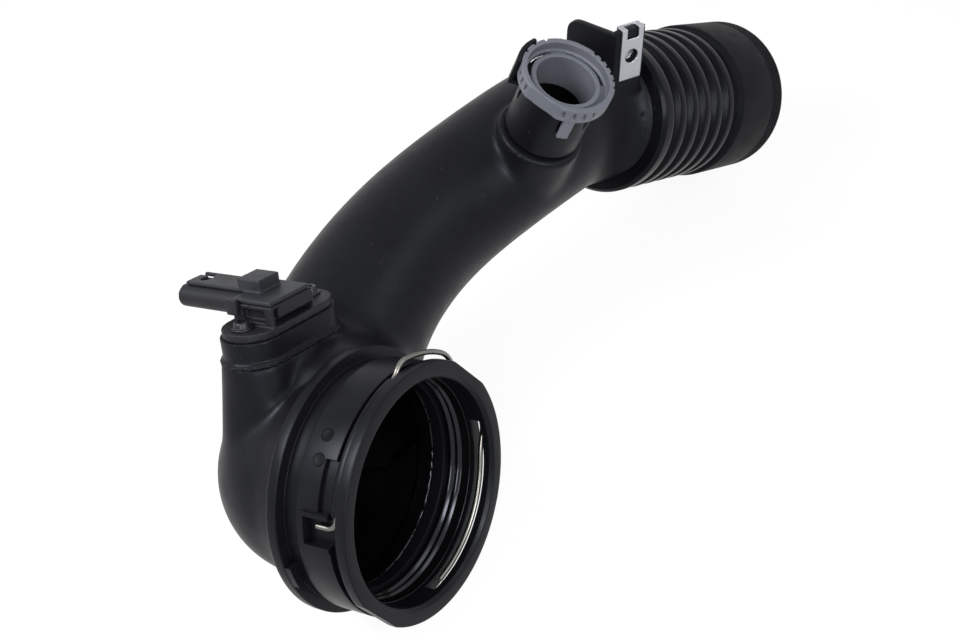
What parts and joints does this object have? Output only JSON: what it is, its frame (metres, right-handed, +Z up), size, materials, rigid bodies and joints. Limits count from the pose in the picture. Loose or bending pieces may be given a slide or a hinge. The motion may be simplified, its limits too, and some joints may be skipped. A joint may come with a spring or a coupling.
{
  "type": "charge air hose",
  "caption": "Moulded air duct with a quick-release coupler on an elbow, a rubber bellows cuff, a breather port with a turning ring, a plug-in sensor and a clip-nut bracket.",
  "frame": {"origin": "front edge of the coupler's pilot bore, on its axis", "axes": "+Z up as the duct is held, the coupler opens towards -Y and upwards, +X runs along the tube to the bellows"},
  "size_m": [0.3859, 0.1309, 0.1444],
  "materials": {
    "black_nylon": "satin",
    "seal_rubber": "gloss",
    "spring_steel": "polished",
    "black_rubber": "satin",
    "grey_plastic": "matt",
    "zinc_steel": "satin",
    "sensor_plastic": "satin",
    "dark_steel": "satin",
    "tin_brass": "polished"
  },
  "bodies": {
    "duct": {"duct_body": "black_nylon", "coupler_collar": "black_nylon", "coupler_seal": "seal_rubber", "retaining_wire": "spring_steel", "bellows_hose": "black_rubber", "vent_cup": "black_nylon", "vent_o_ring": "seal_rubber", "clip_nut": "zinc_steel", "sensor_socket": "black_nylon", "sensor_housing": "sensor_plastic", "sensor_cover": "sensor_plastic", "sensor_o_ring": "seal_rubber", "sensor_screws": "dark_steel", "terminal_pins": "tin_brass"},
    "lock_ring": {"vent_lock_ring": "grey_plastic"}
  },
  "joints": [
    {"name": "lock_ring_turn", "type": "hinge", "parent": "duct", "child": "lock_ring", "pos_m": [0.1572, 0.0257, 0.0369], "axis": [-0.065, -0.3632, 0.9294], "range_deg": [0, 20]}
  ]
}
